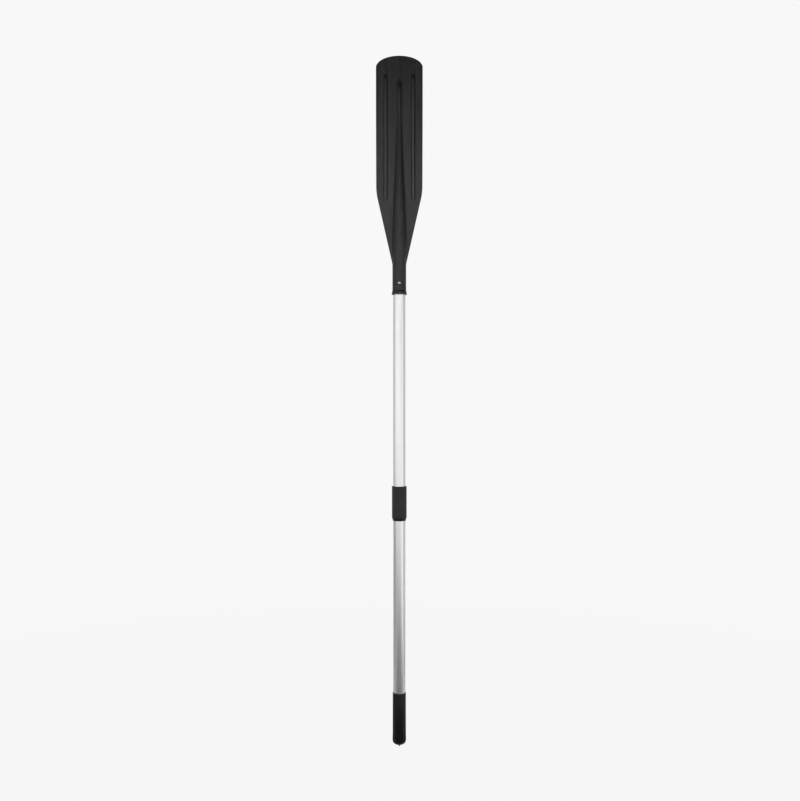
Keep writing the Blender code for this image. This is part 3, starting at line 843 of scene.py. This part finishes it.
def makeSleeve():
    low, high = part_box("joint_sleeve")
    radius, room = high.x, sleeve["windowRoom"]
    outline = [
        (slipBore, low.z), (slipBore + sleeve["footWall"], low.z), (radius, low.z + sleeve["chamfer"]),
        (radius, jointButtonHeight - room), (radius, jointButtonHeight + room), (radius, high.z),
        (slipBore, high.z)]
    shape = roundEdges(turned(outline, sleeve["steps"]), sleeve["edge"], sharperThan=15)
    piece = asObject("joint_sleeve_moulding", shape, sleevePlastic)
    window = bevelledDrill(sleeve["window"], 0, radius, sleeve["windowEdge"], sleeve["windowSteps"])
    window = asObject("window_cutter", faceAlongY(window, 1, jointButtonHeight))
    cutHoles(piece, [window, *drillsFor("sleeve", rivetHoles)])
    standsFor(piece, "joint_sleeve")


makeSleeve()
print("joint sleeve moulded")


# Grip
grip = {
    "wall": 0.00135, "endWall": 0.0054, "bulgeLength": 0.005, "bulgeTaper": 0.018, "taperSteps": 10,
    "endRounding": 0.013, "mouthRounding": 0.0005, "nubRadius": 0.0034, "nubTip": 0.0020,
    "nubLength": 0.006, "nubRounding": 0.0014, "nubFillet": 0.0012, "steps": 128,
}


def makeGrip():
    low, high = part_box("grip")
    foot = low.z + grip["nubLength"]
    full, radius = high.x, slipBore + grip["wall"]
    rounding, fillet, tip = grip["endRounding"], grip["nubFillet"], grip["nubRounding"]
    outline = [(0, low.z)]
    outline += arc(grip["nubTip"] - tip, low.z + tip, tip, -90, 0, steps=6)
    outline += arc(grip["nubRadius"] + fillet, foot - fillet, fillet, 180, 90, steps=6)
    outline += arc(full - rounding, foot + rounding, rounding, -90, 0, steps=20)[1:]
    bulgeTop, count = foot + rounding + grip["bulgeLength"], grip["taperSteps"]
    outline += [
        (radius + (full - radius) * (1 - ease(i, 0, count)), bulgeTop + grip["bulgeTaper"] * i / count)
        for i in range(count + 1)]
    outline += [(radius, high.z), (slipBore, high.z)]
    outline += [(slipBore, foot + grip["endWall"]), (0, foot + grip["endWall"])]
    shape = roundEdges(turned(outline, grip["steps"]), grip["mouthRounding"], sharperThan=45)
    standsFor(asObject("dipped_grip", shape, gripVinyl), "grip")


makeGrip()
print("grip dipped")


# Snap buttons and their leaf springs
buttons = {"radius": 0.004, "dome": 0.0016, "footThickness": 0.0012, "edge": 0.0003, "steps": 64}
springs = {"thickness": 0.0006, "pad": 0.012, "bendRadius": 0.003, "armLean": 15, "edge": 0.00015}


def makeButton(name, node, direction):
    low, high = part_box(node)
    foot, top = sorted((abs(low.y), abs(high.y)))
    radius, dome = buttons["radius"], buttons["dome"]
    crown = (radius ** 2 + dome ** 2) / (2 * dome)
    rim = math.degrees(math.acos(radius / crown))
    face = foot + buttons["footThickness"]
    outline = [(0, foot), (high.x, foot), (high.x, face), (radius, face)]
    outline += arc(0, top - crown, crown, rim, 90, steps=10)
    shape = roundEdges(turned(outline, buttons["steps"]), buttons["edge"], sharperThan=25)
    faceAlongY(shape, direction, middleOf(node).z)
    standsFor(asObject(name, shape, stainlessSteel), node)


def makeSpring(name, button, direction):
    # a bent leaf: one arm by the button's foot, the other at the far wall, joined by a bend at the top
    node = button + "_spring"
    low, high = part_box(node)
    half = springs["thickness"] / 2
    near, far = sorted((low.y * direction, high.y * direction), reverse=True)
    near, far = near - half, far + half
    padTop, bend, lean = low.z + springs["pad"], springs["bendRadius"], springs["armLean"]
    route = [(near, low.z), (near, padTop)]
    route += arc(0, high.z - half - bend, bend, lean, 180 - lean, steps=15)
    route += [(far, padTop), (far, low.z)]
    shape = bmesh.new()
    points = [shape.verts.new((low.x, across * direction, height)) for across, height in route]
    edges = [shape.edges.new(pair) for pair in zip(points, points[1:])]
    strip = bmesh.ops.extrude_edge_only(shape, edges=edges)["geom"]
    moved = [item for item in strip if isinstance(item, bmesh.types.BMVert)]
    bmesh.ops.translate(shape, verts=moved, vec=(high.x - low.x, 0, 0))
    piece = asObject(name, shape, stainlessSteel)
    sheet = piece.modifiers.new("thickness", "SOLIDIFY")
    sheet.thickness = springs["thickness"]
    sheet.offset = 0
    sheet.use_even_offset = True
    edge = piece.modifiers.new("edge", "BEVEL")
    edge.width = springs["edge"]
    edge.segments = 2
    edge.limit_method = "ANGLE"
    keepModified(piece)
    base = padTop - springs["pad"] / 2
    still, pressed = ((0, across * direction, base) for across in (far + half, near - half))
    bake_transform(piece)
    takesPlaceOf(node)


makeButton("bright_blade_button", "blade_button", -1)
makeButton("bright_joint_button", "joint_button", 1)
makeSpring("blade_button_leaf", "blade_button", -1)
makeSpring("joint_button_leaf", "joint_button", 1)
print("snap buttons fitted")


# Blind rivets at the back of the joint
rivets = {
    "radius": 0.0024, "wall": 0.0009, "headHeight": 0.0014, "tailBulge": 0.001, "tailLength": 0.003,
    "tailTaper": 0.001, "edge": 0.0002, "clearance": 0.0003, "stemHead": 0.0022, "steps": 48,
    "stemSteps": 32,
}
rivetBore = rivets["radius"] - rivets["wall"]


def makeRivet(which):
    node = "joint_rivet_" + which
    low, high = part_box(node)
    radius, height, edge = rivets["radius"], rivets["headHeight"], rivets["edge"]
    tail, tailTop, under = radius + rivets["tailBulge"], low.y + rivets["tailLength"], high.y - height
    outline = [(rivetBore, low.y), (radius, low.y), (tail, low.y + rivets["tailTaper"])]
    outline += [(tail, tailTop), (radius, tailTop), (radius, under)]
    outline += arc(high.x - height, under, height, 0, 90, steps=8)
    outline += [(rivetBore + edge, high.y), (rivetBore, high.y - edge)]
    shape = faceAlongY(turned(outline, rivets["steps"]), 1, middleOf(node).z)
    standsFor(asObject("blind_rivet_" + which, shape, satinAluminium), node)


def makeStem(which):
    # the nail that set the rivet, broken off inside it
    node = "rivet_stem_" + which
    low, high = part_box(node)
    stem, bead, edge = rivetBore - rivets["clearance"], rivets["stemHead"], rivets["edge"]
    outline = [(0, low.y), *arc(0, low.y + bead, bead, -60, 0, steps=6), (stem, low.y + bead)]
    outline += [(stem, high.y - edge), (stem - edge, high.y), (0, high.y)]
    shape = faceAlongY(turned(outline, rivets["stemSteps"]), 1, middleOf(node).z)
    standsFor(asObject("broken_stem_" + which, shape, stainlessSteel), node)


for which in rivetPlaces:
    makeRivet(which)
    makeStem(which)
print("rivets set")


# Plugs that keep the water out
plugs = {
    "flange": 0.002, "inset": 0.0019, "edge": 0.0003, "endEdge": 0.001, "bungEdge": 0.001, "steps": 96,
    "rings": 3, "ringRise": 0.0002, "ringWidth": 0.001,
}


def makePlug(name, node, flangeAtTop):
    low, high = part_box(node)
    radius, length = high.x - plugs["inset"], high.z - low.z
    flange, end, width = plugs["flange"], plugs["endEdge"], plugs["ringWidth"]
    outline = [(0, 0), (high.x, 0), (high.x, flange), (radius, flange)]
    for i in range(plugs["rings"]):     # shallow sealing rings round the plug's body
        foot = flange + (length - flange) * (i + 1) / (plugs["rings"] + 1)
        outline += [(radius, foot), (radius + plugs["ringRise"], foot + width / 2), (radius, foot + width)]
    outline += [(radius, length - end), (radius - end, length), (0, length)]
    shape = roundEdges(turned(outline, plugs["steps"]), plugs["edge"], segments=2, sharperThan=50)
    if flangeAtTop:
        flip = Matrix.Rotation(math.pi, 3, "X")
        bmesh.ops.rotate(shape, verts=shape.verts, cent=(0, 0, 0), matrix=flip)
    bmesh.ops.translate(shape, verts=shape.verts, vec=(0, 0, high.z if flangeAtTop else low.z))
    standsFor(asObject(name, shape, plugPlastic), node)


def makeBung():
    low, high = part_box("middle_tube_bung")
    shape = turned([(0, low.z), (high.x, low.z), (high.x, high.z), (0, high.z)], plugs["steps"])
    roundEdges(shape, plugs["bungEdge"], segments=4)
    standsFor(asObject("float_bung", shape, plugPlastic), "middle_tube_bung")


makePlug("blade_end_cap", "blade_end_plug", True)
makePlug("ferrule_end_cap", "ferrule_plug", False)
makePlug("handle_end_cap", "handle_end_plug", False)
makeBung()
print("plugs fitted")
